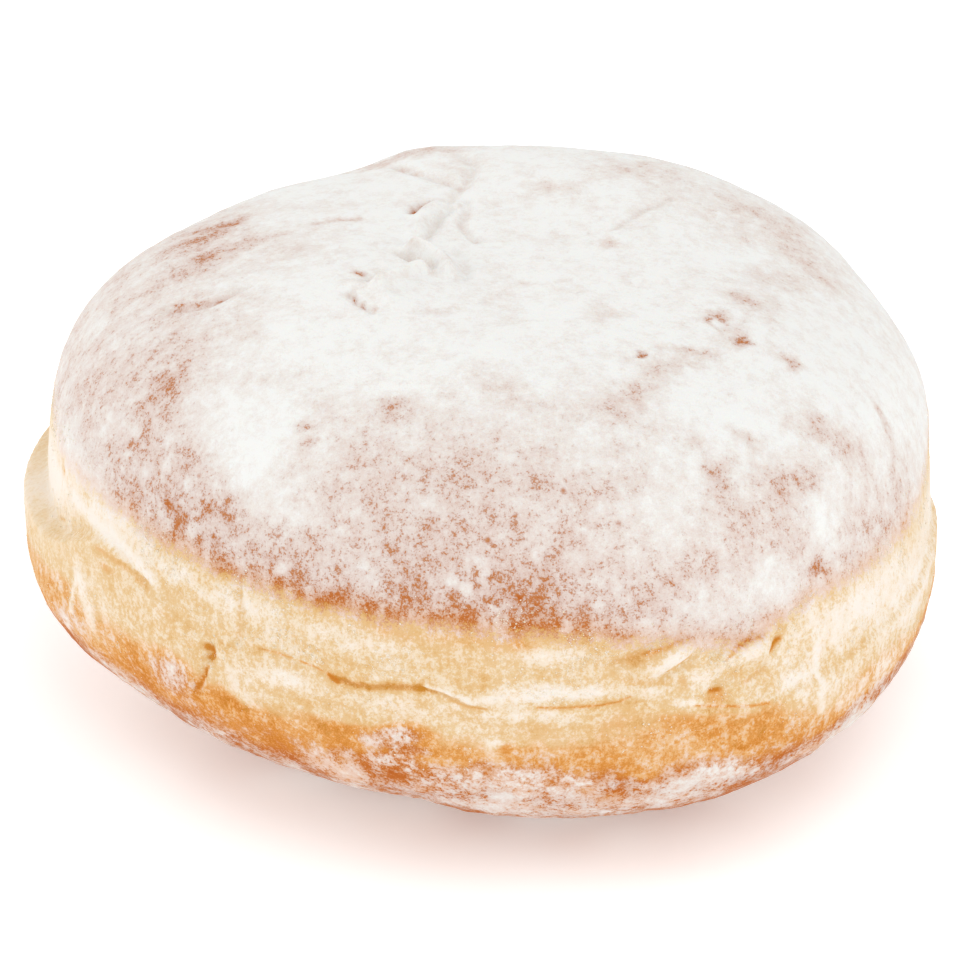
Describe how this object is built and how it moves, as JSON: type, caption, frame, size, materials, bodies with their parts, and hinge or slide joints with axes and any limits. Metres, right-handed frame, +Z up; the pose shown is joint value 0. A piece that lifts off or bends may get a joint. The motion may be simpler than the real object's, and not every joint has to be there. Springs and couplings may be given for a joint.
{
  "type": "jelly filled doughnut",
  "caption": "Whole filled yeast doughnut, fried brown with a pale belt round its waist and a thick dusting of powdered sugar.",
  "frame": {"origin": "under the middle of the bun, on the plane it stands on", "axes": "+Z up through the crown, -Y towards the front, +X to the right"},
  "size_m": [0.095, 0.0898, 0.0512],
  "materials": {
    "crust": "matte fried crust under sugar dust",
    "sugar": "matte fine powder"
  },
  "bodies": {
    "root": {"doughnut": "crust"}
  },
  "joints": []
}
